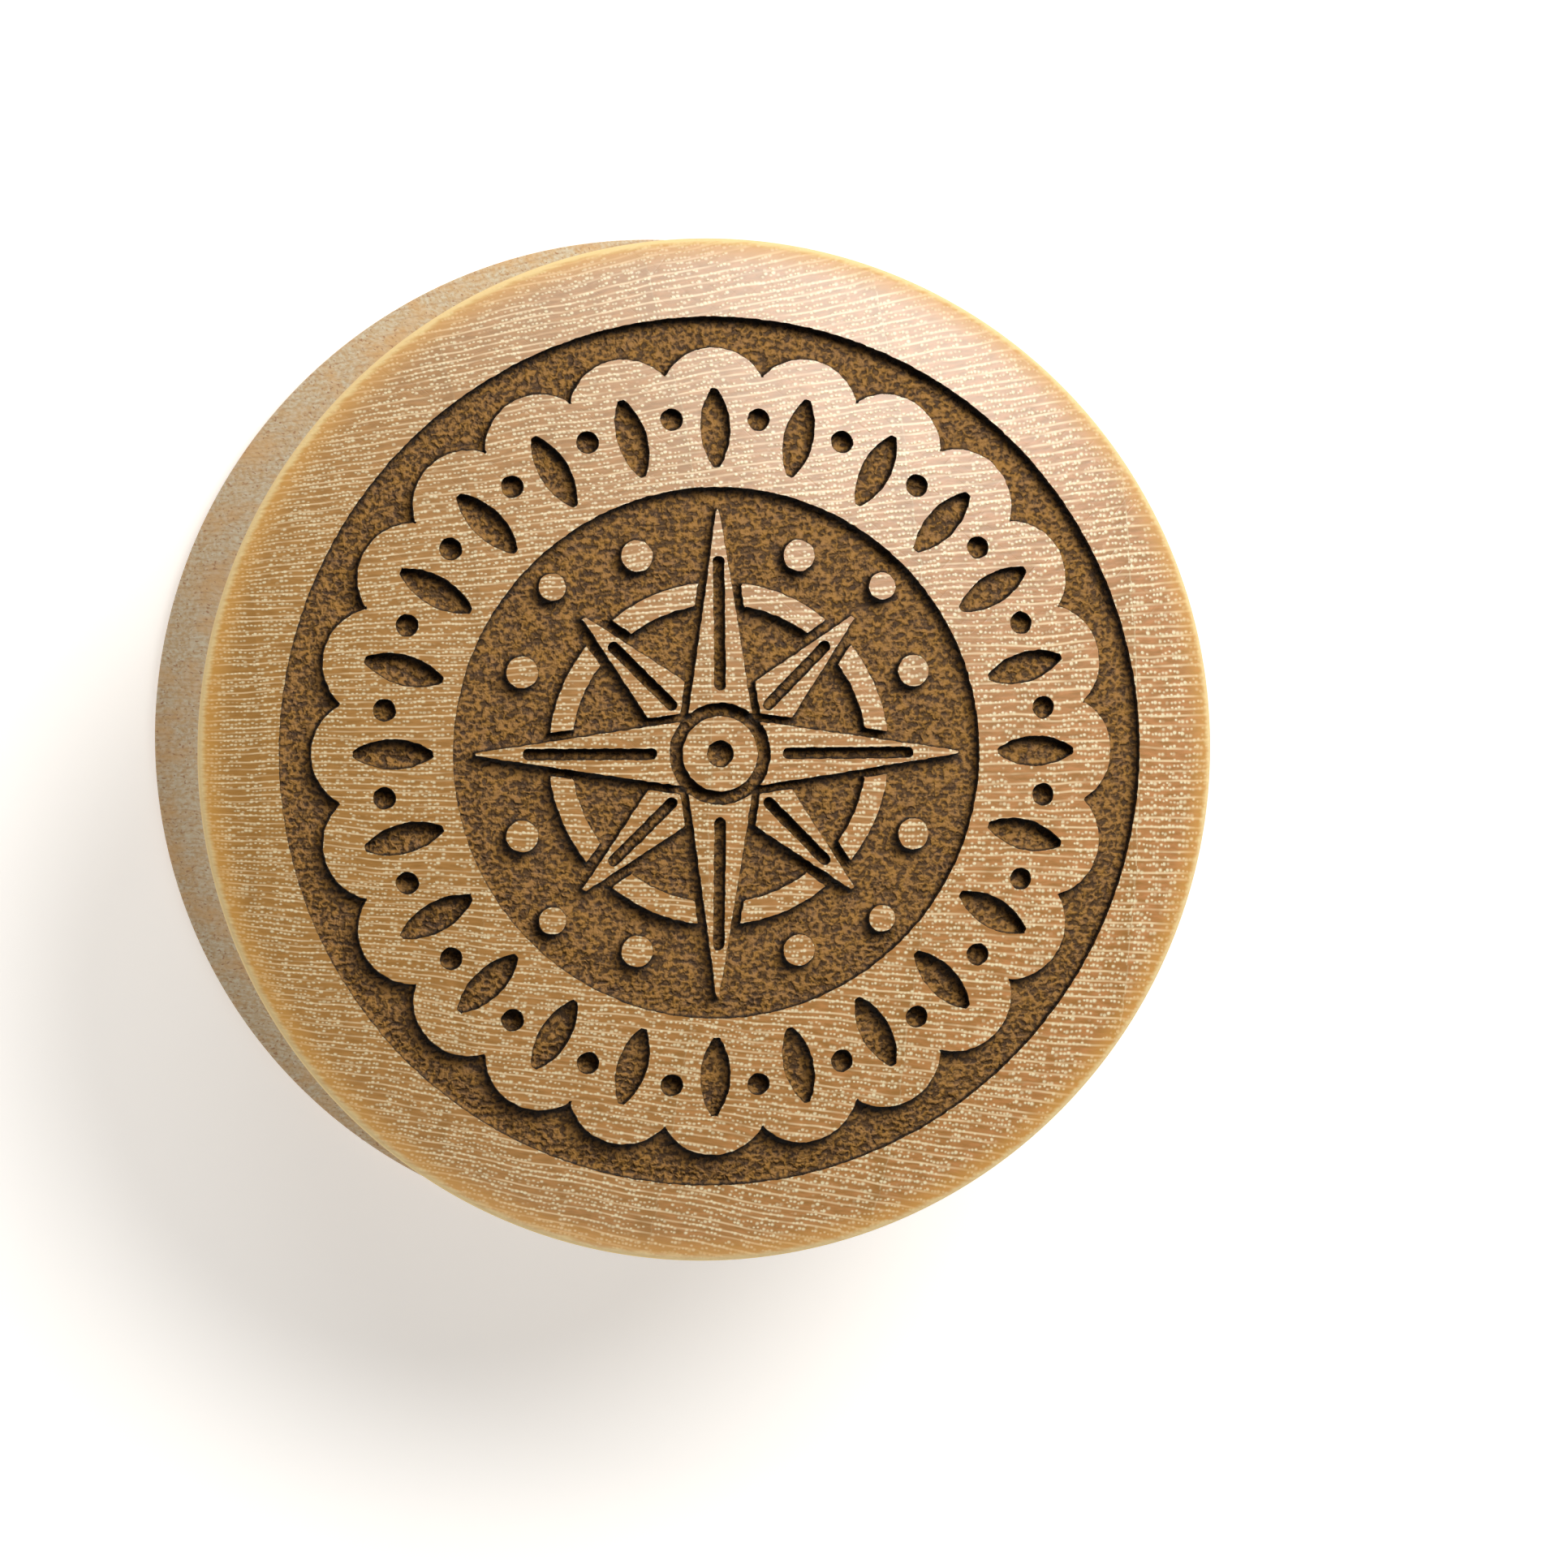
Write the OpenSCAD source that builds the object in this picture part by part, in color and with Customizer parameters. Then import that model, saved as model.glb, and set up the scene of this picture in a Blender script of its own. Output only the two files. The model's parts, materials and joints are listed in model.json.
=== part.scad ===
// Double-flared ear plug, turned from one piece of wood.
// It lies on its flat back: the origin is the middle of the back face, +Z runs up through the domed front.
// All sizes are in millimetres.

/* [Plug] */
// Gauge of the plug: the diameter at its waist, where the ear lobe sits
waist_d = 25.4; // [20:0.1:30]
// How far each flare stands out past the waist
flare_out = 1.1; // [0.8:0.05:1.4]
// Height of the front rim above the back face
rim_z = 12; // [10:0.1:14]
// Rise of the domed front above its rim
dome_rise = 2.5; // [1.8:0.1:3.2]
// Radius of the worn edge round the back face
back_edge_r = 0.55; // [0.4:0.05:0.8]
// Radius of the crisp edge round the front
front_edge_r = 0.3; // [0.2:0.05:0.4]

/* [Engraving] */
// Radius of the engraved disc as a share of the flare's radius
engraving_share = 0.848; // [0.75:0.002:0.88]
// Depth of the engraving, measured square to the dome
engraving_depth = 0.4; // [0.2:0.05:0.6]
// Lobes of the scalloped border, with a leaf in each
lobe_n = 24; // [24:1:28]
// Length of a leaf as a share of the engraved radius
leaf_l_share = 0.2; // [0.14:0.01:0.2]
// Width of a leaf as a share of the engraved radius
leaf_w_share = 0.07; // [0.05:0.005:0.08]
// Reach of the star's four long points as a share of the engraved radius
long_point_share = 0.58; // [0.52:0.01:0.59]
// Reach of its four short points
short_point_share = 0.46; // [0.42:0.01:0.49]

/* [Hidden] */
$fn = 96;
spare = 1;  // how far a cutting shape runs past what it cuts

waist_r = waist_d / 2;
flare_r = waist_r + flare_out;
top_z = rim_z + dome_rise;

// The waist is one arc that meets both rounded edges, so that the two flares have the same radius
edge_span = (rim_z - back_edge_r) / sqrt(flare_out);
back_span = (edge_span + 2 * (back_edge_r - front_edge_r) / edge_span) / 2;
waist_arc_r = (back_span * back_span - 2 * back_edge_r + flare_out) / 2;
waist_z = back_edge_r + sqrt(flare_out) * back_span;
waist_arc_centre = [waist_r + waist_arc_r, waist_z];

// The dome is a sphere that meets the front edge's rounding
front_edge_centre = [flare_r - front_edge_r, rim_z];
back_edge_centre = [flare_r - back_edge_r, back_edge_r];
dome_r = (front_edge_centre.x ^ 2 + dome_rise ^ 2 - front_edge_r ^ 2) / (2 * (dome_rise - front_edge_r));
dome_centre = [0, top_z - dome_r];

// The engraved pattern, from the border to the middle
engraving_r = engraving_share * flare_r;
lobe_r = 0.128 * engraving_r;
lobe_ring_r = 0.8 * engraving_r;
lobe_root_r = 0.846 * engraving_r;
leaf_l = leaf_l_share * engraving_r;
leaf_w = leaf_w_share * engraving_r;
leaf_ring_r = 0.745 * engraving_r;
dot_r = 0.026 * engraving_r;
dot_ring_r = 0.77 * engraving_r;
field_r = 0.61 * engraving_r;
point_n = 4;
shoulder_r = 0.167 * engraving_r;
shoulder_a = 90 / point_n;
vein_w = 0.027 * engraving_r;
vein_start_r = 0.145 * engraving_r;
vein_stop_share = 0.78;
// Growing a point by this much leaves a groove round it
point_grow = [0.154 * engraving_r, 0.038 * engraving_r];
hoop_r = [0.393, 0.342] * engraving_r;
pearl_r = 0.036 * engraving_r;
pearl_ring_r = 0.49 * engraving_r;
small_pearl_r = 0.031 * engraving_r;
small_pearl_ring_r = 0.54 * engraving_r;
hub_groove_r = [0.117, 0.086] * engraving_r;
eye_r = 0.031 * engraving_r;

function unit(v) = v / norm(v);

// What a rounded corner takes away, between the directions from the rounding's centre to its two ends
module corner_waste(centre, r, from, to) {
    reach = r + spare;
    translate(centre)
        difference() {
            polygon([[0, 0], reach * from, reach * (from + to), reach * to]);
            circle(r);
        }
}

// Half of the plug's section, as the lathe cuts it
module half_section() {
    difference() {
        intersection() {
            square([flare_r + spare, top_z + spare]);
            translate(dome_centre) circle(dome_r);
        }
        translate(waist_arc_centre) circle(waist_arc_r);
        corner_waste(back_edge_centre, back_edge_r,
            [0, -1], unit(waist_arc_centre - back_edge_centre));
        corner_waste(front_edge_centre, front_edge_r,
            unit(front_edge_centre - dome_centre), unit(waist_arc_centre - front_edge_centre));
    }
}

// Its children, repeated n times round the middle and pushed out to the radius ring_r
module around(n, ring_r, first_a = 0) {
    for (i = [0 : n - 1])
        rotate(first_a + i * 360 / n)
            translate([ring_r, 0])
                children();
}

module ring(radii) {
    difference() {
        circle(radii[0]);
        circle(radii[1]);
    }
}

// Two arcs that meet in a tip at each end
module leaf(l, w) {
    arc_r = (l * l + w * w) / (4 * w);
    intersection() {
        translate([0, arc_r - w / 2]) circle(arc_r);
        translate([0, w / 2 - arc_r]) circle(arc_r);
    }
}

// One point of the star: a kite from the middle, widest at its shoulders
module star_point(tip_r, widest_r) {
    shoulder = widest_r * [cos(shoulder_a), sin(shoulder_a)];
    polygon([[0, 0], [shoulder.x, -shoulder.y], [tip_r, 0], shoulder]);
}

module long_points(grow = [0, 0]) {
    around(point_n, 0)
        star_point(long_point_share * engraving_r + grow.x, shoulder_r + grow.y);
}

module short_points(grow = [0, 0]) {
    around(point_n, 0, 180 / point_n)
        star_point(short_point_share * engraving_r + grow.x, shoulder_r + grow.y);
}

// The wood left standing in the star's field
module standing_star() {
    long_points();
    difference() {
        short_points();
        long_points(point_grow);
    }
    difference() {
        ring(hoop_r);
        long_points(point_grow);
        short_points(point_grow);
    }
    around(2 * point_n, pearl_ring_r, 90 / point_n) circle(pearl_r);
    around(point_n, small_pearl_ring_r, 180 / point_n) circle(small_pearl_r);
}

// The vein down the middle of each point
module veins(tip_r, first_a) {
    vein_l = vein_stop_share * tip_r - vein_start_r;
    around(point_n, vein_start_r, first_a)
        translate([0, -vein_w / 2])
            square([vein_l, vein_w]);
}

// Everything that the engraving burns away, seen from above
module pattern() {
    difference() {
        circle(engraving_r);
        circle(lobe_root_r);
        around(lobe_n, lobe_ring_r) circle(lobe_r);
    }
    around(lobe_n, leaf_ring_r) leaf(leaf_l, leaf_w);
    around(lobe_n, dot_ring_r, 180 / lobe_n) circle(dot_r);
    difference() {
        circle(field_r);
        standing_star();
    }
    veins(long_point_share * engraving_r, 0);
    veins(short_point_share * engraving_r, 180 / point_n);
    ring(hub_groove_r);
    circle(eye_r);
}

// The engraving's floor follows the dome
module engraving() {
    difference() {
        translate([0, 0, rim_z - engraving_depth])
            linear_extrude(engraving_depth + dome_rise + spare)
                pattern();
        translate([0, 0, dome_centre.y]) sphere(dome_r - engraving_depth);
    }
}

module plug_body() {
    color("burlywood")
        difference() {
            rotate_extrude() half_section();
            engraving();
        }
}

plug_body();
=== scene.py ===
"""Dresses the ear plug gauge: a double-flared plug of light hardwood with a laser-engraved front."""

import json
import math

import bmesh
import bpy
import numpy as np
from bpy.props import FloatProperty, FloatVectorProperty, IntProperty, PointerProperty
from bpy.types import Operator, Panel, PropertyGroup
from mathutils import Matrix, Vector, noise
from mathutils.geometry import delaunay_2d_cdt


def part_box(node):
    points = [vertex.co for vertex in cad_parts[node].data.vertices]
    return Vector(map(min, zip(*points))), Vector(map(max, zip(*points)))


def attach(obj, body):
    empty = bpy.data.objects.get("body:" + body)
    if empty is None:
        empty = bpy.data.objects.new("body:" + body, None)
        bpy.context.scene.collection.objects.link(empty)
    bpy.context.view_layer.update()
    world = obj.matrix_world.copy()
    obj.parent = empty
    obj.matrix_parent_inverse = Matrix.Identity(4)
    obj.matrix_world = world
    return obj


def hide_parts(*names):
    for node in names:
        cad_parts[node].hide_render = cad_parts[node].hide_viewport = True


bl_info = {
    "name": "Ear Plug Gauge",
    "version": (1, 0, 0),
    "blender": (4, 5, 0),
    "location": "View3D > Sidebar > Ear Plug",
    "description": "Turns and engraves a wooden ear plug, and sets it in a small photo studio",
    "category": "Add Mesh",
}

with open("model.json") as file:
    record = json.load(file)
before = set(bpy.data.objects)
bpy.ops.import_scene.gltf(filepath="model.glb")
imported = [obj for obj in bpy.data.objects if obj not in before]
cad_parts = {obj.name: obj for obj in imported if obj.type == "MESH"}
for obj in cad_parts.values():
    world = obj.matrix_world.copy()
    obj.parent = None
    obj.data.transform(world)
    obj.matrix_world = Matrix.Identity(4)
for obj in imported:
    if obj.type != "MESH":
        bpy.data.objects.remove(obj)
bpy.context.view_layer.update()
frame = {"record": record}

MM = 0.001
NODE = "plug_body"
WAIST = next(m for m in frame["record"]["mounts"] if m["name"] == "lobe_waist")
FLARE_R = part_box(NODE)[1].x
TOP_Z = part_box(NODE)[1].z


def linear(hex_colour):
    """A hex sRGB colour as the linear red, green and blue that Blender works in."""
    parts = [int(hex_colour[i : i + 2], 16) / 255 for i in (0, 2, 4)]
    return [c / 12.92 if c <= 0.04045 else ((c + 0.055) / 1.055) ** 2.4 for c in parts]


def length_property(name, description, millimetres):
    return FloatProperty(
        name=name, description=description, default=millimetres * MM, unit="LENGTH", precision=5
    )


def share_property(name, description, share):
    return FloatProperty(
        name=name, description=description, default=share, min=0, max=1, subtype="FACTOR"
    )


def strength_property(name, description, strength):
    return FloatProperty(name=name, description=description, default=strength, min=0)


def colour_property(name, description, hex_colour):
    return FloatVectorProperty(
        name=name, description=description, default=linear(hex_colour), min=0, max=1, subtype="COLOR"
    )


class PlugShape(PropertyGroup):
    """Sizes of the turned plug, as the lathe leaves it."""

    flare_radius: length_property("Flare", "Radius of the two flares at their widest", FLARE_R / MM)
    waist_radius: length_property("Waist", "Radius at the waist, half of the gauge", WAIST["dims"]["r_mm"])
    top_height: length_property("Height", "Height of the dome's top above the back face", TOP_Z / MM)
    dome_rise: length_property("Dome rise", "Rise of the domed front above its rim", 2.5)
    back_edge: length_property("Back edge", "Radius of the worn edge round the back face", 0.55)
    front_edge: length_property("Front edge", "Radius of the crisp edge round the front", 0.3)
    segments: IntProperty(name="Segments", description="Steps round the plug", default=384, min=48)


class Engraving(PropertyGroup):
    """Sizes of the engraved rosette. Shares are of its own radius."""

    radius_share: share_property("Radius", "Radius of the engraving as a share of the flare's", 0.848)
    depth: length_property("Depth", "Depth of the engraving, square to the dome", 0.4)
    lobes: IntProperty(name="Lobes", description="Lobes of the border, a leaf in each", default=24, min=6)
    leaf_length: share_property("Leaf length", "Length of a leaf", 0.2)
    leaf_width: share_property("Leaf width", "Width of a leaf", 0.07)
    long_point: share_property("Long points", "Reach of the star's four long points", 0.58)
    short_point: share_property("Short points", "Reach of the star's four short points", 0.46)
    ragged: length_property("Ragged edge", "How far the laser's steps wander off the drawn line", 0.02)
    crumb: length_property("Crumb", "Height of the burnt crumbs on the floor", 0.06)
    spacing: length_property("Mesh spacing", "Distance between points by the engraved lines", 0.074)


class WoodLook(PropertyGroup):
    """Colours of the wood and of its burnt floor."""

    end_grain: colour_property("End grain", "Ground of the end grain", "b58442")
    outer_end_grain: colour_property("End grain, outer", "Ground of the younger end grain", "c98b53")
    end_grain_dark: colour_property("End grain, dark", "Denser fibres of the end grain", "9a6c2c")
    pore: colour_property("Pores", "Pores filled with pale dust and oil", "faecc0")
    ray: colour_property("Rays", "Pale lines that run out from the pith", "efd0a0")
    long_grain: colour_property("Long grain", "Pale streaks of the side", "cfc2a4")
    long_grain_dark: colour_property("Long grain, dark", "Ground of the side", "bd9865")
    long_grain_gold: colour_property("Long grain, gold", "Broad golden zones of the side", "cf9d5a")
    ray_fleck: colour_property("Grooves", "Ray ends and cut pores on the side", "a06c38")
    rim: colour_property("Rim", "Golden edge where the end grain drinks the oil", "dba048")
    # A painted highlight: the pale band on the rounded corner of the front edge, where the edge glows bright
    rim_corner_highlight: colour_property("Rim corner", "Pale corner of the rim, rubbed by the sandpaper", "f6dc9c")
    # Partly the paler tops of the burnt crumbs, partly a painted highlight on them; it also tints the grain
    # that shows through
    crumb_top_and_highlight: colour_property("Crumb tops", "Tops of the burnt crumbs", "b58244")
    burnt: colour_property("Burnt crumbs", "Flanks of the burnt crumbs", "8d652e")
    ash: colour_property("Ash", "Grey ash on the crumbs", "715338")
    scorched: colour_property("Scorched gold", "Scorched fibres between the crumbs", "9a6c16")
    # Partly char, partly painted shade in the cracks between the crumbs
    char: colour_property("Char", "Char in the cracks between the crumbs", "2e1a0a")
    # Soot and painted shade: darkens the walls and the floor beside them, most where a wall stands between
    # the floor and the lights
    soot_and_shade: colour_property("Soot", "Soot on the walls and close to them", "0c0704")


class Studio(PropertyGroup):
    """The floor, the lights and the camera."""

    floor: colour_property("Floor", "Colour of the floor", "dddbd7")
    floor_glow: colour_property("Floor glow", "Colour of the light from below the floor", "fffbf6")
    glow_strength: strength_property("Glow", "Strength of the light from below", 0.52)
    key_strength: strength_property("Key light", "Strength of the main softbox", 2.7)
    top_strength: strength_property("Top light", "Strength of the upper softbox", 0.6)
    fill_strength: strength_property("Fill light", "Strength of the low softbox", 0.6)
    horizon: strength_property("Horizon", "Strength of the white room round the floor", 1.1)
    zenith: strength_property("Zenith", "Strength of the room overhead", 0.08)


# The turned blank


def unit(v):
    return v / np.hypot(*v)


def arc(centre, radius, from_direction, to_direction, steps):
    """Points of a short arc between two directions from its centre, both ends included."""
    start = math.atan2(from_direction[1], from_direction[0])
    turn = math.atan2(to_direction[1], to_direction[0]) - start
    turn = (turn + math.pi) % (2 * math.pi) - math.pi
    angles = start + turn * np.linspace(0, 1, steps + 1)
    return centre + radius * np.column_stack((np.cos(angles), np.sin(angles)))


class Section:
    """The plug's section in millimetres: dome, crisp edge, one arc for the waist, worn edge and flat."""

    def __init__(self, shape):
        self.flare_r = shape.flare_radius / MM
        self.waist_r = shape.waist_radius / MM
        self.front_r = shape.front_edge / MM
        self.back_r = shape.back_edge / MM
        self.top_z = shape.top_height / MM
        rise = shape.dome_rise / MM
        rim_z = self.top_z - rise
        flare_out = self.flare_r - self.waist_r
        self.front = np.array([self.flare_r - self.front_r, rim_z])
        self.back = np.array([self.flare_r - self.back_r, self.back_r])
        span = (rim_z - self.back_r) / math.sqrt(flare_out)
        back_span = (span + 2 * (self.back_r - self.front_r) / span) / 2
        self.waist_arc_r = (back_span**2 - 2 * self.back_r + flare_out) / 2
        waist_z = self.back_r + math.sqrt(flare_out) * back_span
        self.waist_centre = np.array([self.waist_r + self.waist_arc_r, waist_z])
        self.dome_r = (self.front[0] ** 2 + rise**2 - self.front_r**2) / (2 * (rise - self.front_r))
        self.dome_centre = np.array([0, self.top_z - self.dome_r])

    def dome_z(self, r, below=0):
        """Height of the dome at a distance from the axis, or of the sphere that lies below it."""
        return self.dome_centre[1] + np.sqrt((self.dome_r - below) ** 2 - r**2)

    def outline(self, from_r):
        """Radius and height along the section, from the dome at from_r round to the middle of the back."""
        up = unit(self.front - self.dome_centre)
        to_waist = [unit(self.waist_centre - c) for c in (self.front, self.back)]
        dome_stop = self.front[0] + self.front_r * up[0]
        dome_rows, edge_steps, waist_steps = 8, 6, 24
        back_rows = np.array([0.97, 0.8, 0.5, 0.2])  # as shares of the flat back's radius
        dome = [(r, self.dome_z(r)) for r in np.linspace(from_r, dome_stop, dome_rows)]
        return np.vstack(
            (
                dome,
                arc(self.front, self.front_r, up, to_waist[0], edge_steps)[1:],
                arc(self.waist_centre, self.waist_arc_r, -to_waist[0], -to_waist[1], waist_steps)[1:],
                arc(self.back, self.back_r, to_waist[1], (0, -1), edge_steps)[1:],
                [(r, 0) for r in self.back[0] * back_rows],
            )
        )


# The engraved rosette, in shares of its radius, as in the CAD model

LOBE_R, LOBE_RING_R, LOBE_ROOT_R = 0.128, 0.8, 0.846
LEAF_RING_R = 0.745
DOT_R, DOT_RING_R = 0.026, 0.77
FIELD_R = 0.61
POINTS = 4  # long points of the star, with a short one between each two
SHOULDER_R, SHOULDER_ANGLE = 0.167, math.pi / 8
GROOVE_AT_TIP, GROOVE_AT_SHOULDER = 0.154, 0.038  # how far a point's groove stands out past the point
HOOP_R = (0.393, 0.342)
PEARL_R, PEARL_RING_R = 0.036, 0.49
SMALL_PEARL_R, SMALL_PEARL_RING_R = 0.031, 0.54
VEIN_START_R, VEIN_STOP_SHARE, VEIN_WIDTH = 0.145, 0.78, 0.027
HUB_GROOVE_R = (0.117, 0.086)
EYE_R = 0.031

# How much of a sharp tip the laser leaves out, which the CAD model doesn't show
LEAF_BLUNT, POINT_BLUNT = 0.009, 0.02


# Each of the next functions gives how far a point lies inside its shape, below zero outside it


def fold(x, y, count, first_angle=0):
    """Turns every point into the one sector round +X that all the others repeat."""
    step = 2 * math.pi / count
    angle = (np.arctan2(y, x) - first_angle + step / 2) % step - step / 2
    r = np.hypot(x, y)
    return r * np.cos(angle), r * np.sin(angle)


def disc(x, y, radius, centre_x=0):
    return radius - np.hypot(x - centre_x, y)


def ring(x, y, outer, inner):
    r = np.hypot(x, y)
    return np.minimum(outer - r, r - inner)


def leaf(x, y, centre_x, length, width):
    """Two arcs that meet in a tip at each end, as blunt as a laser leaves it."""
    arc_r = (length**2 + width**2) / (4 * width)
    offset = arc_r - width / 2
    along = x - centre_x
    arcs = arc_r - np.maximum(np.hypot(along, y - offset), np.hypot(along, y + offset))
    return np.minimum(arcs, length / 2 - LEAF_BLUNT - np.abs(along))


def star_point(x, y, tip, shoulder):
    """A kite from the middle, widest at its shoulders, with a tip as blunt as a laser leaves it."""
    sx, sy = shoulder * math.cos(SHOULDER_ANGLE), shoulder * math.sin(SHOULDER_ANGLE)
    kite = ((tip - x) * sy - np.abs(y) * (tip - sx)) / math.hypot(sy, tip - sx)
    return np.minimum(kite, tip - POINT_BLUNT - x)


def vein(x, y, start, stop, width):
    """A stroke with round ends."""
    past_end = np.clip(np.abs(x - (start + stop) / 2) - (stop - start - width) / 2, 0, None)
    return width / 2 - np.hypot(past_end, y)


def border(x, y, engraving):
    """The burnt ground round the lobes, with a leaf in each lobe and a dot between each two."""
    lobe_x, lobe_y = fold(x, y, engraving.lobes)
    lobed_ring = np.maximum(disc(x, y, LOBE_ROOT_R), disc(lobe_x, lobe_y, LOBE_R, LOBE_RING_R))
    ground = np.minimum(disc(x, y, 1), -lobed_ring)
    leaves = leaf(lobe_x, lobe_y, LEAF_RING_R, engraving.leaf_length, engraving.leaf_width)
    dots = disc(*fold(x, y, engraving.lobes, math.pi / engraving.lobes), DOT_R, DOT_RING_R)
    return np.maximum.reduce([ground, leaves, dots])


def star(x, y, engraving):
    """The burnt field round the star, hoop and pearls, and the veins, groove and eye on the star."""
    long_x, long_y = fold(x, y, POINTS)
    short_x, short_y = fold(x, y, POINTS, math.pi / POINTS)
    points, grooves, veins = [], [], []
    for px, py, tip in ((long_x, long_y, engraving.long_point), (short_x, short_y, engraving.short_point)):
        points.append(star_point(px, py, tip, SHOULDER_R))
        grooves.append(star_point(px, py, tip + GROOVE_AT_TIP, SHOULDER_R + GROOVE_AT_SHOULDER))
        veins.append(vein(px, py, VEIN_START_R, VEIN_STOP_SHARE * tip, VEIN_WIDTH))
    short_points = np.minimum(points[1], -grooves[0])
    hoop = np.minimum(ring(x, y, *HOOP_R), -np.maximum(*grooves))
    pearls = disc(*fold(x, y, 2 * POINTS, math.pi / (2 * POINTS)), PEARL_R, PEARL_RING_R)
    small_pearls = disc(short_x, short_y, SMALL_PEARL_R, SMALL_PEARL_RING_R)
    standing = np.maximum.reduce([points[0], short_points, hoop, pearls, small_pearls])
    field = np.minimum(disc(x, y, FIELD_R), -standing)
    hub = np.maximum(ring(x, y, *HUB_GROOVE_R), disc(x, y, EYE_R))
    return np.maximum.reduce([field, hub, *veins])


def rosette(points, engraving, radius):
    """How far inside the engraved lines each point lies, in millimetres."""
    x, y = points.T / radius
    return radius * np.maximum(border(x, y, engraving), star(x, y, engraving))


# The laser's own marks, in millimetres. Each noise is two sizes, each with the layer that it is read from

RAGGED_NOISE = ((0.22, 3.1), (0.09, 8.4))
HEAP_NOISE = ((0.45, 1.7), (0.24, 5.2))
FINE_SHARE = 0.6  # strength of the finer noise beside the coarser
SOOT_AND_SHADE_REACH, PAINTED_SHADE_REACH_BELOW = 0.04, 0.16  # the second is painted shade, added where a wall stands between the floor and the lights
PAINTED_SHADE_STEP = 0.02  # over which the way to the nearest wall is measured
BANK_HEIGHT, BANK_REACH = 0.1, 0.06  # the crumbs banked along the walls
WALL_ROWS = ((0.01, 0.03), (0.02, 0.14))  # how far into the groove and how deep each row of a wall lies
WALL_SOOT_AND_SHADE = 0.85  # share of the walls' colour that is soot and painted shade


def perlin(points, size, layer):
    """Smooth noise from -1 to 1 with bumps of about that size."""
    return np.array([noise.noise((x / size, y / size, layer)) for x, y in points])


def uneven(points, coarse, fine):
    """Smooth noise of two sizes."""
    return perlin(points, *coarse) + FINE_SHARE * perlin(points, *fine)


# The engraved sheet: an even mesh of the front whose edges follow the engraved lines. Lengths in millimetres

OUTLINE_STEPS = 1.6  # how far from the outline the mesh is fine, in its own steps
SNAP = 0.32  # share of an edge within which its end moves onto the outline
HALVINGS = 6  # by which a crossing of the outline is found
SLACK = 1e-6  # how close two points are that the triangulation takes as one
SEAM = 0.15  # from the engraving's edge to the seam between the sheet and the turned rest
MERGE = 1e-4  # how close two points are that the seam joins


def lattice(radius, spacing, near_outline):
    """A triangular lattice in a disc. Far from the outline it has every second point of every second row."""
    reach = int(1.2 * radius / spacing)  # a row of the lattice is only 0.87 of a step high
    i, j = np.meshgrid(np.arange(-reach, reach + 1), np.arange(-reach, reach + 1))
    i, j = i.ravel(), j.ravel()
    points = spacing * np.column_stack((i + j / 2, j * math.sqrt(3) / 2))
    inside = np.hypot(*points.T) < radius - spacing
    points, coarse = points[inside], ((i % 2 == 0) & (j % 2 == 0))[inside]
    return points[coarse | near_outline(points)]


def circle(radius, count):
    angles = 2 * math.pi * np.arange(count) / count
    return radius * np.column_stack((np.cos(angles), np.sin(angles)))


def triangulate(points, edges=()):
    """Delaunay triangles over the points, which keep the given edges."""
    corners = [Vector(p) for p in points.tolist()]
    out = delaunay_2d_cdt(corners, [tuple(map(int, e)) for e in edges], [], 0, SLACK)
    return np.array(out[0]), np.array(out[2])


def edges_of(triangles):
    pairs = np.vstack((triangles[:, [0, 1]], triangles[:, [1, 2]], triangles[:, [2, 0]]))
    return np.unique(np.sort(pairs, axis=1), axis=0)


def crossings(points, depth, pairs, depth_at):
    """Where the outline crosses each pair's edge, as a share of the way along it."""
    low, high = np.zeros(len(pairs)), np.ones(len(pairs))
    a, b = points[pairs[:, 0]], points[pairs[:, 1]]
    for _ in range(HALVINGS):
        middle = (low + high) / 2
        same = depth_at(a + middle[:, None] * (b - a)) * depth[pairs[:, 0]] > 0
        low, high = np.where(same, middle, low), np.where(same, high, middle)
    share = (low + high) / 2
    return share, a + share[:, None] * (b - a)


def follow_outline(points, triangles, depth_at):
    """Moves the points nearest the outline onto it, adds the rest of its points, and triangulates again."""
    depth = depth_at(points)
    pairs = edges_of(triangles)
    pairs = pairs[depth[pairs[:, 0]] * depth[pairs[:, 1]] < 0]
    share, places = crossings(points, depth, pairs, depth_at)
    by_first, by_second = share < SNAP, share > 1 - SNAP
    ends = np.concatenate((pairs[by_first, 0], pairs[by_second, 1]))
    targets = np.vstack((places[by_first], places[by_second]))
    distance = np.concatenate((share[by_first], 1 - share[by_second]))
    farthest_first = np.argsort(-distance)
    points = points.copy()
    points[ends[farthest_first]] = targets[farthest_first]
    depth[ends] = 0

    pairs = edges_of(triangles)
    pairs = pairs[depth[pairs[:, 0]] * depth[pairs[:, 1]] < 0]
    _, places = crossings(points, depth, pairs, depth_at)
    added = {tuple(pair): len(points) + i for i, pair in enumerate(pairs.tolist())}
    outline = set()
    for triangle in triangles.tolist():
        on_line = [v for v in triangle if depth[v] == 0]
        for i in range(3):
            edge = tuple(sorted((triangle[i], triangle[i - 1])))
            if edge in added:
                on_line.append(added[edge])
        if len(on_line) == 2:
            outline.add(tuple(sorted(on_line)))
    return triangulate(np.vstack((points, places)), sorted(outline))


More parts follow.
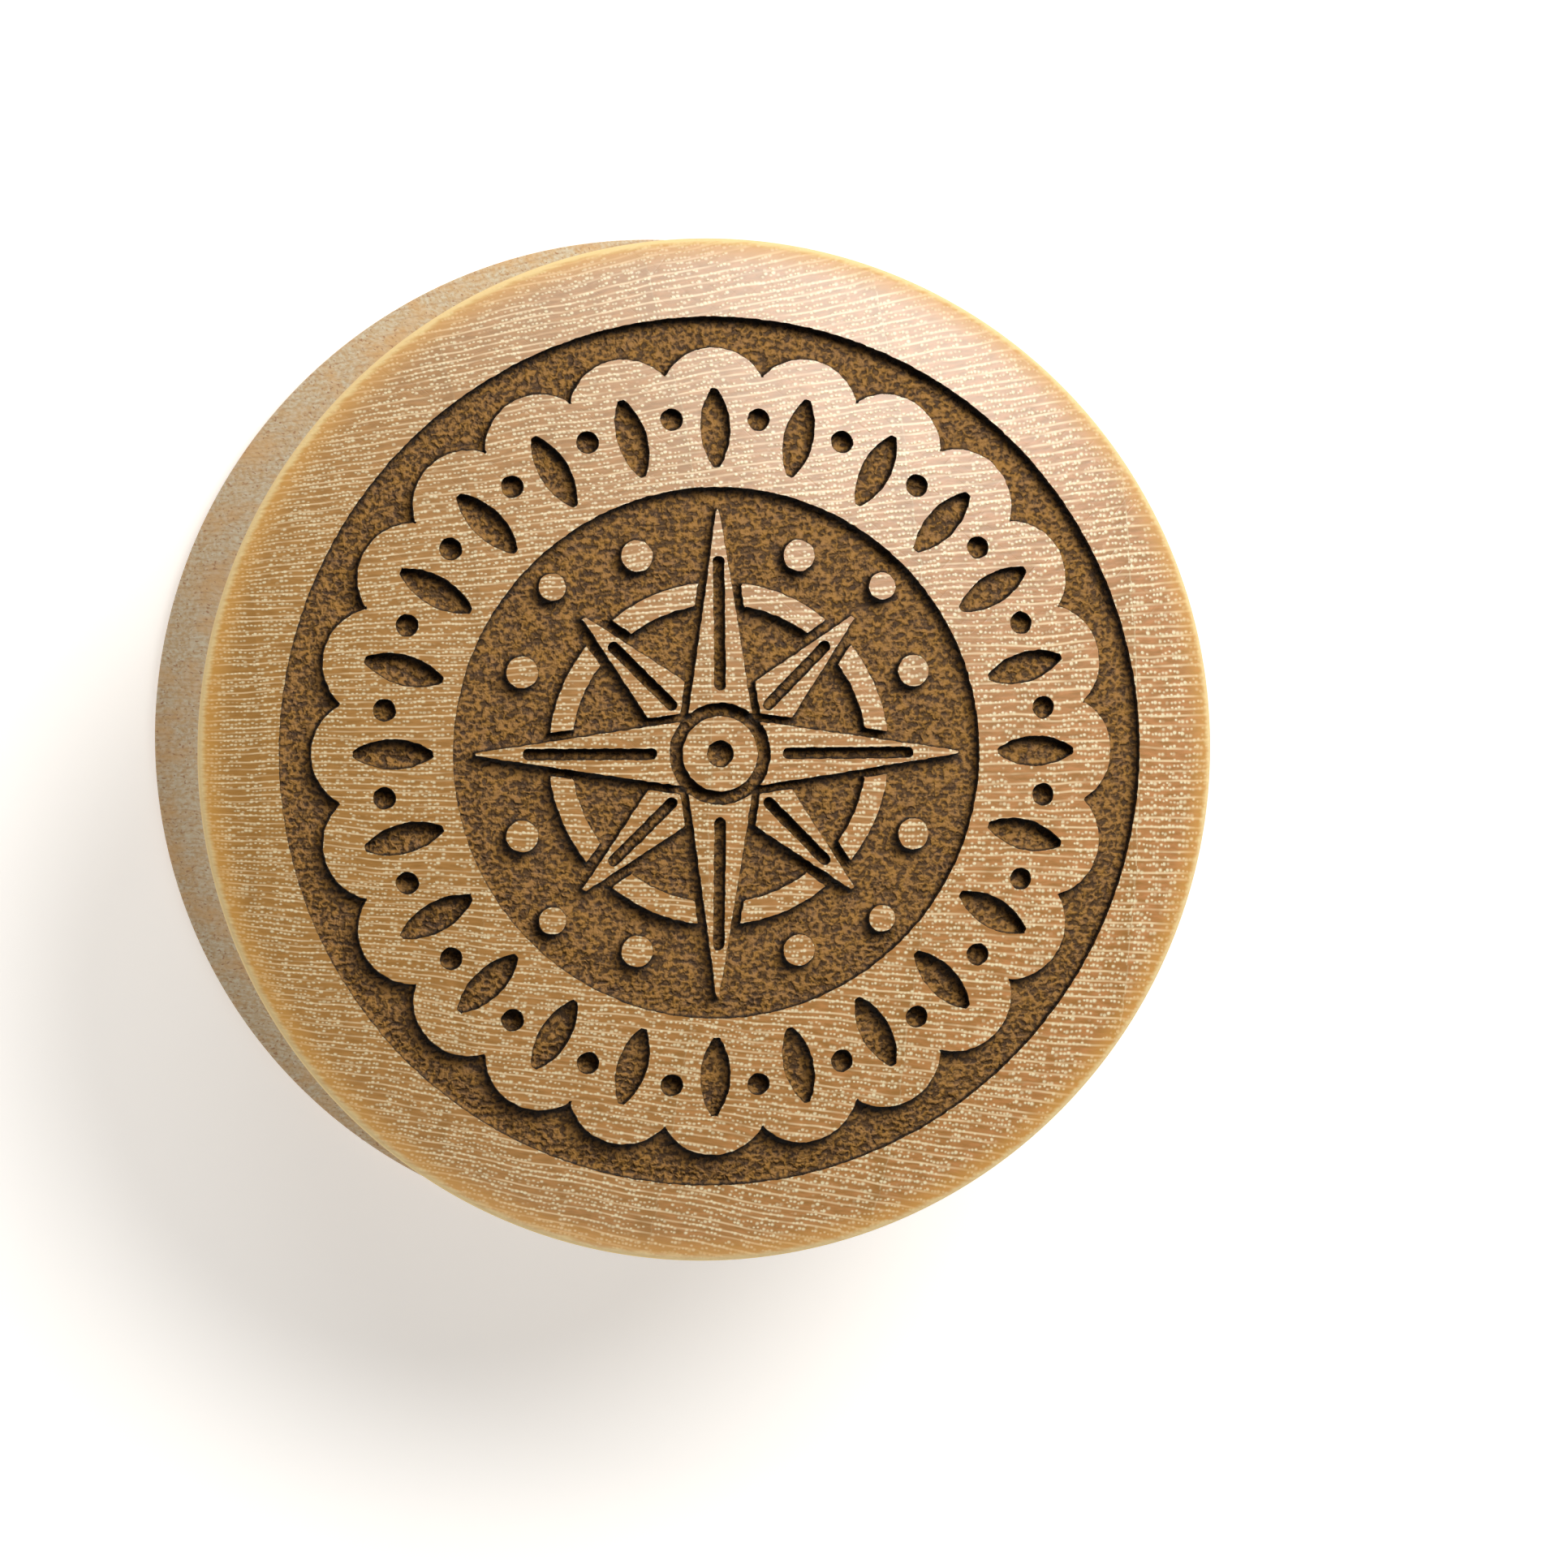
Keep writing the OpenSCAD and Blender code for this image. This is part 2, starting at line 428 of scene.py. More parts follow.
def part_touching_corners(triangles, burnt):
    """Burns the faces round every point where two corners of bare wood only touch, until none do."""
    sides = np.vstack((triangles[:, [0, 1]], triangles[:, [1, 2]], triangles[:, [2, 0]]))
    pairs, which = np.unique(np.sort(sides, axis=1), axis=0, return_inverse=True)
    while True:
        burnt_sides = np.bincount(which.ravel(), weights=np.tile(burnt, 3))
        ends = np.bincount(pairs[burnt_sides == 1].ravel(), minlength=triangles.max() + 1)
        if ends.max() <= 2:
            return burnt
        burnt = burnt | (ends[triangles] > 2).any(axis=1)


def wall_edges(triangles, burnt):
    """The edges where bare wood meets the burnt floor, in the direction of their bare faces."""
    owners = {}
    for face, triangle in enumerate(triangles.tolist()):
        for i in range(3):
            owners[(triangle[i], triangle[(i + 1) % 3])] = face
    return [
        (i, j) for (i, j), face in owners.items() if not burnt[face] and burnt[owners.get((j, i), face)]
    ]


def into_groove(points, walls):
    """For every point on a wall, in order, the direction that leads into the groove."""
    sums = {v: np.zeros(2) for v in sorted({v for edge in walls for v in edge})}
    for i, j in walls:
        along = points[j] - points[i]
        for v in (i, j):
            sums[v] += (along[1], -along[0])
    return {v: unit(total) for v, total in sums.items()}


def soot_and_shade_on(places, to_wall, depth_at):
    """How dark the floor is painted by the walls: partly soot, partly painted shade, which reaches farthest
    where a wall stands between the floor and the lights.
    """
    step = np.array([0, PAINTED_SHADE_STEP])
    shade_below_wall = np.clip((depth_at(places - step) - depth_at(places + step)) / (2 * PAINTED_SHADE_STEP), 0, 1)
    return np.exp(-((to_wall / (SOOT_AND_SHADE_REACH + PAINTED_SHADE_REACH_BELOW * shade_below_wall)) ** 3))


def engraved_sheet(section, engraving, radius, segments):
    """The front out to just past the engraving: vertices, faces, each face's material, each point's soot and
    painted shade.
    """
    cut_r = section.flare_r * engraving.radius_share
    spacing = engraving.spacing / MM

    def inside(places):
        return rosette(places, engraving, cut_r) + engraving.ragged / MM * uneven(places, *RAGGED_NOISE)

    def near_outline(places):
        return np.abs(rosette(places, engraving, cut_r)) < OUTLINE_STEPS * spacing

    points = np.vstack((lattice(radius, spacing, near_outline), circle(radius, segments)))
    points, triangles = triangulate(points)
    points, triangles = follow_outline(points, triangles, inside)
    burnt = part_touching_corners(triangles, inside(points[triangles].mean(axis=1)) > 0)
    walls = wall_edges(triangles, burnt)
    inward = into_groove(points, walls)

    floor_of = {v: len(points) + n for n, v in enumerate(sorted(set(triangles[burnt].ravel().tolist())))}
    floor_xy = points[list(floor_of)]
    to_wall = np.clip(inside(floor_xy), 0, None)
    # Painted shade by the walls, partly soot
    soot_and_shade = soot_and_shade_on(floor_xy, to_wall, inside)
    sphere_z = section.dome_z(np.hypot(*floor_xy.T), engraving.depth / MM)
    heap = uneven(floor_xy, *HEAP_NOISE)
    floor_z = sphere_z + engraving.crumb / MM * heap + BANK_HEIGHT * np.exp(-to_wall / BANK_REACH)
    land_z = section.dome_z(np.hypot(*points.T))
    vertices = [np.column_stack((points, land_z)), np.column_stack((floor_xy, floor_z))]

    rows = [{v: v for v in inward}]
    count = len(points) + len(floor_of)
    for into, down in WALL_ROWS:
        rows.append({v: count + n for n, v in enumerate(inward)})
        vertices.append(np.array([(*(points[v] + into * inward[v]), land_z[v] - down) for v in inward]))
        count += len(inward)
    rows.append(floor_of)

    faces = [tuple(t) for t in triangles[~burnt].tolist()]
    kinds = [0] * len(faces)
    faces += [tuple(floor_of[v] for v in t) for t in triangles[burnt].tolist()]
    for upper, lower in zip(rows, rows[1:]):
        faces += [(upper[j], upper[i], lower[i], lower[j]) for i, j in walls]
    kinds += [1] * (len(faces) - len(kinds))
    point_soot_and_shade = np.full(count, WALL_SOOT_AND_SHADE)
    point_soot_and_shade[list(floor_of.values())] = soot_and_shade
    return np.vstack(vertices), faces, kinds, point_soot_and_shade


def lathe(outline, segments):
    """Vertices and faces of a section turned round the axis, closed at the middle of the last row."""
    around = circle(1, segments)
    vertices = np.vstack([np.column_stack((r * around, np.full(segments, z))) for r, z in outline])
    faces = []
    for row in range(len(outline) - 1):
        for i in range(segments):
            j = (i + 1) % segments
            a, b = row * segments, (row + 1) * segments
            faces.append((a + i, b + i, b + j, a + j))
    middle = len(vertices)
    last = (len(outline) - 1) * segments
    faces += [(last + i, middle, last + (i + 1) % segments) for i in range(segments)]
    return np.vstack((vertices, (0, 0, 0))), faces


def plug_mesh(shape, engraving):
    """The whole plug as one closed mesh, in metres."""
    section = Section(shape)
    seam_r = section.flare_r * engraving.radius_share + SEAM
    sheet, sheet_faces, kinds, point_soot_and_shade = engraved_sheet(section, engraving, seam_r, shape.segments)
    turned, turned_faces = lathe(section.outline(seam_r), shape.segments)
    shifted = [tuple(v + len(sheet) for v in face) for face in turned_faces]
    mesh = bpy.data.meshes.new("engraved_plug")
    mesh.from_pydata((np.vstack((sheet, turned)) * MM).tolist(), [], sheet_faces + shifted)
    mesh.polygons.foreach_set("material_index", kinds + [0] * len(shifted))
    mesh.polygons.foreach_set("use_smooth", [True] * len(mesh.polygons))
    # How dark each point is painted: soot and painted shade on the walls and beside them
    soot_and_shade = mesh.attributes.new("soot_and_shade", "FLOAT", "POINT")
    soot_and_shade.data.foreach_set("value", point_soot_and_shade.tolist() + [0] * len(turned))
    joined = bmesh.new()
    joined.from_mesh(mesh)
    bmesh.ops.remove_doubles(joined, verts=joined.verts, dist=MERGE * MM)
    bmesh.ops.delete(joined, geom=[v for v in joined.verts if not v.link_faces], context="VERTS")
    joined.to_mesh(mesh)
    joined.free()
    return mesh


# Materials. Each pattern's size is in real millimetres, matched to the photograph. In a Map Range, From Min
# and From Max choose how much of a noise shows, and To Max how strongly

FACTOR, A, B, MIXED = 0, 6, 7, 2  # the Mix node's sockets for colours


def add(tree, kind, inputs=None, output=0, **settings):
    """Adds a node, gives it its settings, links or sets its inputs, and returns one of its outputs."""
    node = tree.nodes.new("ShaderNode" + kind)
    for name, value in settings.items():
        setattr(node, name, value)
    for name, value in (inputs or {}).items():
        if isinstance(value, bpy.types.NodeSocket):
            tree.links.new(value, node.inputs[name])
        else:
            node.inputs[name].default_value = value
    return node.outputs[output] if node.outputs else node


def new_material(name):
    material = bpy.data.materials.new(name)
    material.use_nodes = True
    material.node_tree.nodes.clear()
    return material


def colour(value):
    return (*value, 1)


def per_mm(*sizes_mm):
    """The frequencies that give a pattern whose marks have these sizes."""
    return tuple(1 / size for size in sizes_mm)


def end_grain_pattern(tree):
    """The wood's growth, cut square to the grain. The bare wood and the burnt floor share it.

    Rays fan out from the tree's pith, and pores lie in short rows along them. Growth rings cross both.
    """
    pith_mm = 62  # from the plug's axis
    front_mm = 24
    ray_gap_mm = 0.23
    ray_width_mm = 0.04
    pore_cell_mm = (0.11, 0.14)  # room for one pore, along and across the rays
    pore_mm = (0.105, 0.08)
    pore_group_mm = (0.29, 0.156)
    vessel_mm = 8.3  # length of a vessel up the grain
    ring_gap_mm = 5.95
    ring_start = 0.613
    ring_line_mm = 0.06
    ring_step_mm = 0.07  # how far a ring may jump from one ray to the next
    late_wood_mm = 0.7
    fade_mm = (1.1, 0.7)  # over which a ray comes and goes, along it and up the grain
    fibre_mm = (0.45, 0.1, 1.4)  # along the rays, across them and up the grain
    wander_gap_mm = 2.9  # between two bends of the grain
    wander_mm = (0.3, 0.35, 0)  # how far it bends

    place = add(tree, "TexCoord", output="Object")
    mm = add(tree, "VectorMath", {0: place, "Scale": 1 / MM}, operation="SCALE")
    wander = add(tree, "TexNoise", {"Vector": mm, "Scale": 1 / wander_gap_mm, "Detail": 2}, "Color")
    wander = add(tree, "VectorMath", {0: wander, 1: (0.5, 0.5, 0.5)}, operation="SUBTRACT")
    wander = add(tree, "VectorMath", {0: wander, 1: wander_mm, 2: mm}, operation="MULTIPLY_ADD")
    from_pith = add(tree, "VectorMath", {0: wander, 1: (pith_mm, 0, 0)}, operation="ADD")
    x = add(tree, "SeparateXYZ", {0: from_pith}, "X")
    y, z = x.node.outputs["Y"], x.node.outputs["Z"]
    across = add(tree, "CombineXYZ", {"X": x, "Y": y})
    reach = add(tree, "VectorMath", {0: across}, "Value", operation="LENGTH")
    angle = add(tree, "Math", {0: y, 1: x}, operation="ARCTAN2")
    rows = add(tree, "Math", {0: angle, 1: pith_mm / ray_gap_mm}, operation="MULTIPLY")

    # Rays: thin pale lines, unevenly spaced, that fade in and out along their length and up the grain
    ray = add(tree, "Math", {0: rows}, operation="ROUND")
    ray_chance = add(tree, "TexWhiteNoise", {"W": ray}, noise_dimensions="1D")
    uneven_by = 0.5  # how far a ray may lie from its even place, in gaps
    off_ray = add(tree, "Math", {0: ray_chance, 1: uneven_by, 2: ray}, operation="MULTIPLY_ADD")
    off_ray = add(tree, "Math", {0: rows, 1: off_ray}, operation="SUBTRACT")
    off_ray = add(tree, "Math", {0: off_ray, 1: uneven_by / 2}, operation="ADD")
    off_ray = add(tree, "Math", {0: off_ray}, operation="ABSOLUTE")
    ray_at = add(tree, "CombineXYZ", {"X": reach, "Y": ray, "Z": z})
    own_noise = 7.3  # far enough that two neighbours fade apart
    fades = (1 / fade_mm[0], own_noise, 1 / fade_mm[1])
    ray_at = add(tree, "VectorMath", {0: ray_at, 1: fades}, operation="MULTIPLY")
    ray_depth = add(tree, "TexNoise", {"Vector": ray_at, "Scale": 1, "Detail": 2})
    ray_depth = {"Value": ray_depth, "From Min": 0.36, "From Max": 0.58, "To Min": 0.25}
    ray_depth = add(tree, "MapRange", ray_depth)
    edge = ray_width_mm / ray_gap_mm / 2
    ray_line = {"Value": off_ray, "From Min": 2 * edge, "From Max": 0.4 * edge}
    ray_line = add(tree, "MapRange", ray_line, interpolation_type="SMOOTHSTEP")
    rays = add(tree, "Math", {0: ray_line, 1: ray_depth}, operation="MULTIPLY")

    # Pores: long vessels up the grain, cut across as soft dots
    pore_at = add(tree, "CombineXYZ", {"X": reach, "Y": rows})
    cells = (1 / pore_cell_mm[0], ray_gap_mm / pore_cell_mm[1], 0)
    pore_at = add(tree, "VectorMath", {0: pore_at, 1: cells}, operation="MULTIPLY")
    cell = {"Vector": pore_at, "Scale": 1, "Randomness": 0.5}
    middle = add(tree, "TexVoronoi", cell, "Position", voronoi_dimensions="2D")
    chance = add(tree, "SeparateColor", {0: middle.node.outputs["Color"]}, "Red")
    off_pore = add(tree, "VectorMath", {0: pore_at, 1: middle}, operation="SUBTRACT")
    radii = (2 * pore_cell_mm[0] / pore_mm[0], 2 * pore_cell_mm[1] / pore_mm[1], 0)
    off_pore = add(tree, "VectorMath", {0: off_pore, 1: radii}, operation="MULTIPLY")
    off_pore = add(tree, "VectorMath", {0: off_pore}, "Value", operation="LENGTH")
    pore_size = add(tree, "MapRange", {"Value": chance, "To Min": 0.9, "To Max": 1.7})
    off_pore = add(tree, "Math", {0: off_pore, 1: pore_size}, operation="MULTIPLY")
    dot = {"Value": off_pore, "From Min": 1.3, "From Max": 0.5}
    pores = add(tree, "MapRange", dot, interpolation_type="SMOOTHSTEP")
    halo = {"Value": off_pore, "From Min": 1.7, "From Max": 0.8, "To Max": 0.35}
    halo = add(tree, "MapRange", halo, interpolation_type="SMOOTHSTEP")
    pores = add(tree, "Math", {0: pores, 1: halo}, operation="MAXIMUM")
    groups = (pore_cell_mm[0] / pore_group_mm[0], pore_cell_mm[1] / pore_group_mm[1], 0)
    group_at = add(tree, "VectorMath", {0: middle, 1: groups}, operation="MULTIPLY")
    up_grain = (0, 0, 1 / vessel_mm)
    group_at = add(tree, "VectorMath", {0: mm, 1: up_grain, 2: group_at}, operation="MULTIPLY_ADD")
    group = add(tree, "TexNoise", {"Vector": group_at, "Scale": 1, "Detail": 0})
    filled = add(tree, "SeparateColor", {0: middle.node.outputs["Color"]}, "Green")
    filled = add(tree, "MapRange", {"Value": filled, "To Min": 0.55})
    group = add(tree, "MapRange", {"Value": group, "From Min": 0.4, "From Max": 0.44})
    group = add(tree, "Math", {0: group, 1: filled}, operation="MULTIPLY")
    pores = add(tree, "Math", {0: pores, 1: group}, operation="MULTIPLY")

    # Growth rings: a thin pale line after a darker band
    ring = add(tree, "Math", {0: reach, 1: 1 / ring_gap_mm, 2: ring_start}, operation="MULTIPLY_ADD")
    stepped = {0: ray_chance, 1: ring_step_mm / ring_gap_mm, 2: ring}
    ring = add(tree, "Math", stepped, operation="MULTIPLY_ADD")
    ring = add(tree, "Math", {0: ring}, operation="FRACT")
    ring_line = {"Value": ring, "From Min": 1 - ring_line_mm / ring_gap_mm, "From Max": 1, "To Max": 0.6}
    ring_line = add(tree, "MapRange", ring_line, interpolation_type="SMOOTHSTEP")
    ring_line = add(tree, "Math", {0: ring_line, 1: ray_depth}, operation="MULTIPLY")
    late_wood = {"Value": ring, "From Min": 1 - late_wood_mm / ring_gap_mm, "From Max": 1, "To Max": 0.5}
    late_wood = add(tree, "MapRange", late_wood, interpolation_type="SMOOTHSTEP")

    # Fibres: short streaks along the rays
    fibre_at = add(tree, "CombineXYZ", {"X": reach, "Y": rows, "Z": z})
    fibres = (1 / fibre_mm[0], ray_gap_mm / fibre_mm[1], 1 / fibre_mm[2])
    fibre_at = add(tree, "VectorMath", {0: fibre_at, 1: fibres}, operation="MULTIPLY")
    fibre = add(tree, "TexNoise", {"Vector": fibre_at, "Scale": 1, "Detail": 3})
    fibre = add(tree, "MapRange", {"Value": fibre, "From Min": 0.32, "From Max": 0.68, "To Min": 0.2})

    # Across the front, from the wood nearest the pith to the farthest. Only the outer wood shows its rings
    outer = {"Value": reach, "From Min": pith_mm - front_mm / 2, "From Max": pith_mm + front_mm / 2}
    outer = add(tree, "MapRange", outer)
    ring_line = add(tree, "Math", {0: ring_line, 1: outer}, operation="MULTIPLY")
    return {
        "mm": mm,
        "wander": wander,
        "height": z,
        "rays": rays,
        "pores": pores,
        "ring_line": ring_line,
        "late_wood": late_wood,
        "fibre": fibre,
        "outer": outer,
    }


def tint(tree, surface, share, value):
    """The surface's colour with a share of another colour mixed in."""
    return add(tree, "Mix", {FACTOR: share, A: surface, B: colour(value)}, MIXED, data_type="RGBA")


def oiled_hardwood(look, flare_mm, rim_mm):
    """Light hardwood, turned, sanded and oiled to a satin. The grain runs along the plug's axis.

    The front is end grain: tan, with pale rays and cream pores. The side is long grain: paler, with fine
    streaks up it. The oil turns the rim golden, and a pale band at its corner is a painted highlight.
    """
    ragged_mm = 0.12  # how far the fibres draw the oil in from the rim
    pore_depth_mm = 0.01

    material = new_material("oiled_hardwood")
    tree = material.node_tree
    grain = end_grain_pattern(tree)
    mm = grain["mm"]

    ends = {A: colour(look.end_grain), B: colour(look.outer_end_grain)}
    end = add(tree, "Mix", {FACTOR: grain["outer"], **ends}, MIXED, data_type="RGBA")
    fibres = {FACTOR: grain["fibre"], A: colour(look.end_grain_dark), B: end}
    end = add(tree, "Mix", fibres, MIXED, data_type="RGBA")
    end = tint(tree, end, grain["late_wood"], look.end_grain_dark)
    # The oil has gone deeper into the older wood near the pith, where the pattern is fainter
    clear = add(tree, "MapRange", {"Value": grain["outer"], "To Min": 0.72})
    for line, line_colour in (("rays", look.ray), ("ring_line", look.pore), ("pores", look.pore)):
        share = add(tree, "Math", {0: grain[line], 1: clear}, operation="MULTIPLY")
        end = tint(tree, end, share, line_colour)

    # Up the side run fine streaks, broad golden zones and the thin dark grooves of cut pores
    streaks = {}
    for kind, width_mm, length_mm, detail in (
        ("fine", 0.09, 0.7, 3),
        ("broad", 0.77, 4.5, 3),
        ("groove", 0.0625, 0.67, 0),
    ):
        stretch = per_mm(width_mm, width_mm, length_mm)
        at = add(tree, "VectorMath", {0: grain["wander"], 1: stretch}, operation="MULTIPLY")
        streaks[kind] = add(tree, "TexNoise", {"Vector": at, "Scale": 1, "Detail": detail})
    fine = add(tree, "MapRange", {"Value": streaks["fine"], "From Min": 0.33, "From Max": 0.67})
    sides = {A: colour(look.long_grain_dark), B: colour(look.long_grain)}
    side = add(tree, "Mix", {FACTOR: fine, **sides}, MIXED, data_type="RGBA")
    broad = {"Value": streaks["broad"], "From Min": 0.45, "From Max": 0.68, "To Max": 0.65}
    side = tint(tree, side, add(tree, "MapRange", broad), look.long_grain_gold)
    groove = {"Value": streaks["groove"], "From Min": 0.67, "From Max": 0.8, "To Max": 0.9}
    side = tint(tree, side, add(tree, "MapRange", groove), look.ray_fleck)
    ray_fleck = add(tree, "Math", {0: grain["rays"], 1: 0.3}, operation="MULTIPLY")
    side = tint(tree, side, ray_fleck, look.ray_fleck)

    # End grain shows where the surface faces along the grain
    facing = add(tree, "TexCoord", output="Normal")
    facing = add(tree, "SeparateXYZ", {0: facing}, "Z")
    facing = add(tree, "Math", {0: facing}, operation="ABSOLUTE")
    end_share = {"Value": facing, "From Min": 0.35, "From Max": 0.85}
    end_share = add(tree, "MapRange", end_share, interpolation_type="SMOOTHSTEP")
    surface = add(tree, "Mix", {FACTOR: end_share, A: side, B: end}, MIXED, data_type="RGBA")

    # Each band of the rim starts and stops at a distance from the edge, ragged by the fibres. The first is
    # the oil's gold; the second, at the corner, is a painted highlight.
    across = add(tree, "VectorMath", {0: mm, 1: (1, 1, 0)}, operation="MULTIPLY")
    off_axis = add(tree, "VectorMath", {0: across}, "Value", operation="LENGTH")
    ragged = {0: grain["fibre"], 1: -ragged_mm, 2: off_axis}
    off_axis = add(tree, "Math", ragged, operation="MULTIPLY_ADD")
    above_rim = {"Value": grain["height"], "From Min": rim_mm - 0.25, "From Max": rim_mm + 0.05}
    above_rim = add(tree, "MapRange", above_rim)
    bands = []
    for start_mm, stop_mm, most, band_colour in (
        (0.9, 0.15, 0.7, look.rim),
        (0.3, 0.12, 0.75, look.rim_corner_highlight),
    ):
        band = {"Value": off_axis, "From Min": flare_mm - start_mm, "From Max": flare_mm - stop_mm}
        band = add(tree, "MapRange", {**band, "To Max": most}, interpolation_type="SMOOTHSTEP")
        band = add(tree, "Math", {0: band, 1: above_rim}, operation="MULTIPLY")
        surface = tint(tree, surface, band, band_colour)
        bands.append(band)

    # The last strokes of fine sandpaper leave sparse scratches, drawn coarser than the paper's grit to show
    height = add(tree, "Math", {0: grain["fibre"], 1: 0.4, 2: grain["pores"]}, operation="MULTIPLY_ADD")
    for turn, across_mm, along_mm in ((0.7, 0.06, 0.8), (2.3, 0.07, 1.1)):
        turned = add(tree, "VectorRotate", {"Vector": mm, "Angle": turn}, rotation_type="Z_AXIS")
        stretch = per_mm(along_mm, across_mm, 1)
        marks = add(tree, "VectorMath", {0: turned, 1: stretch}, operation="MULTIPLY")
        marks = add(tree, "TexNoise", {"Vector": marks, "Scale": 1, "Detail": 1})
        marks = add(tree, "MapRange", {"Value": marks, "From Min": 0.62, "From Max": 0.78})
        height = add(tree, "Math", {0: marks, 1: -0.3, 2: height}, operation="MULTIPLY_ADD")
    bump = add(tree, "Bump", {"Height": height, "Strength": 0.5, "Distance": pore_depth_mm * MM})
    rough = add(tree, "MapRange", {"Value": end_share, "To Min": 0.8, "To Max": 0.36})
    rough = add(tree, "Math", {0: bands[0], 1: 0.15, 2: rough}, operation="MULTIPLY_ADD")
    finish = {"Roughness": rough, "Normal": bump, "IOR": 1.5, "Specular IOR Level": 0.88}
    shader = add(tree, "BsdfPrincipled", {"Base Color": surface, **finish})
    add(tree, "OutputMaterial", {"Surface": shader})
    return material


def laser_char(look):
    """Hardwood burnt by a laser: matt brown crumbs with ash and scorched gold on them.

    It is black in the cracks and by the walls, partly as char and soot, partly as painted shade. The crumb
    tops are lighter, partly as a painted highlight. The rays and pores still show through it faintly.
    """
    crumb_mm = (0.116, 0.125, 0.42)  # along the rays, across them and up the grain
    crumb_row_mm = (0.2, 0.11, 0.5)
    gold_mm = 0.29  # patches of scorched gold
    ash_mm = 0.38  # patches of ash
    crack_mm = 0.055  # depth of the cracks between the crumbs

    material = new_material("laser_char")
    tree = material.node_tree
    grain = end_grain_pattern(tree)
    mm = grain["mm"]
    crumb_at = add(tree, "VectorMath", {0: mm, 1: per_mm(*crumb_mm)}, operation="MULTIPLY")
    crumb = add(tree, "TexNoise", {"Vector": crumb_at, "Scale": 1, "Detail": 1, "Distortion": 0.35})
    row_at = add(tree, "VectorMath", {0: grain["wander"], 1: per_mm(*crumb_row_mm)}, operation="MULTIPLY")
    crumb_rows = add(tree, "TexNoise", {"Vector": row_at, "Scale": 1, "Detail": 0})
    crumb_rows = add(tree, "Math", {0: crumb_rows, 1: 0.45}, operation="MULTIPLY")
    crumb = add(tree, "Math", {0: crumb, 1: 0.8, 2: crumb_rows}, operation="MULTIPLY_ADD")
    crumb = add(tree, "MapRange", {"Value": crumb, "From Min": 0.45, "From Max": 0.8})
    gold = add(tree, "TexNoise", {"Vector": mm, "Scale": 1 / gold_mm, "Detail": 1})
    ash = add(tree, "TexNoise", {"Vector": mm, "Scale": 1 / ash_mm, "Detail": 1})
    ash_share = add(tree, "MapRange", {"Value": ash, "From Min": 0.45, "From Max": 0.65, "To Max": 0.7})
    gold_share = add(tree, "MapRange", {"Value": gold, "From Min": 0.45, "From Max": 0.62, "To Max": 0.6})
    # The crumb tops are lightened, partly as a painted highlight, and the cracks darkened, partly as painted
    # shade
    top_highlight_share = add(tree, "MapRange", {"Value": crumb, "From Min": 0.4, "From Max": 1, "To Max": 0.55})
    crack_shade_share = {"Value": crumb, "From Min": 0.7, "From Max": 0.2, "To Max": 0.8}
    crack_shade_share = add(tree, "MapRange", crack_shade_share, interpolation_type="SMOOTHSTEP")
    grain_share = add(tree, "Math", {0: grain["rays"], 1: grain["pores"]}, operation="MAXIMUM")
    grain_share = add(tree, "Math", {0: grain_share, 1: 0.25}, operation="MULTIPLY")
    soot_and_shade = add(tree, "Attribute", output="Fac", attribute_name="soot_and_shade", attribute_type="GEOMETRY")

    browns = {A: colour(look.burnt), B: colour(look.ash)}
    surface = add(tree, "Mix", {FACTOR: ash_share, **browns}, MIXED, data_type="RGBA")
    surface = tint(tree, surface, gold_share, look.scorched)
    surface = tint(tree, surface, top_highlight_share, look.crumb_top_and_highlight)
    surface = tint(tree, surface, crack_shade_share, look.char)
    surface = tint(tree, surface, grain_share, look.crumb_top_and_highlight)
    # Painted shade by the walls, partly soot: near-black on the walls and the floor beside them
    surface = tint(tree, surface, soot_and_shade, look.soot_and_shade)
    bump = add(tree, "Bump", {"Height": crumb, "Strength": 1, "Distance": crack_mm * MM})
    finish = {"Roughness": 0.75, "Normal": bump, "IOR": 1.45}
    shader = add(tree, "BsdfPrincipled", {"Base Color": surface, **finish})
    add(tree, "OutputMaterial", {"Surface": shader})
    return material


def opal_acrylic(look):
    """White opal acrylic, matt and lit softly from below, which keeps the shadows on it pale."""
    material = new_material("opal_acrylic")
    tree = material.node_tree
    shader = add(
        tree,
        "BsdfPrincipled",
        {
            "Base Color": colour(look.floor),
            "Roughness": 0.9,
            "Specular IOR Level": 0.2,
            "Emission Color": colour(look.floor_glow),
            "Emission Strength": look.glow_strength,
        },
    )
    add(tree, "OutputMaterial", {"Surface": shader})
    return material


# Operators


class EARPLUG_OT_turn_and_engrave(Operator):
    """Turn the plug from hardwood and engrave its domed front"""

    bl_idname = "earplug.turn_and_engrave"
    bl_label = "Turn and Engrave Plug"

    def execute(self, context):
        scene = context.scene
        mesh = plug_mesh(scene.earplug_shape, scene.earplug_engraving)
        shape = scene.earplug_shape
        rim_z = shape.top_height - shape.dome_rise
        mesh.materials.append(oiled_hardwood(scene.earplug_wood, shape.flare_radius / MM, rim_z / MM))
        mesh.materials.append(laser_char(scene.earplug_wood))
        crease = math.radians(40)
        mesh.set_sharp_from_angle(angle=crease)
        plug = bpy.data.objects.new("engraved_plug", mesh)
        scene.collection.objects.link(plug)
        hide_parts(NODE)
        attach(plug, "root")
        return {"FINISHED"}


def aim(thing, target):
    thing.rotation_mode = "QUATERNION"
    thing.rotation_quaternion = (target - thing.location).to_track_quat("-Z", "Y")


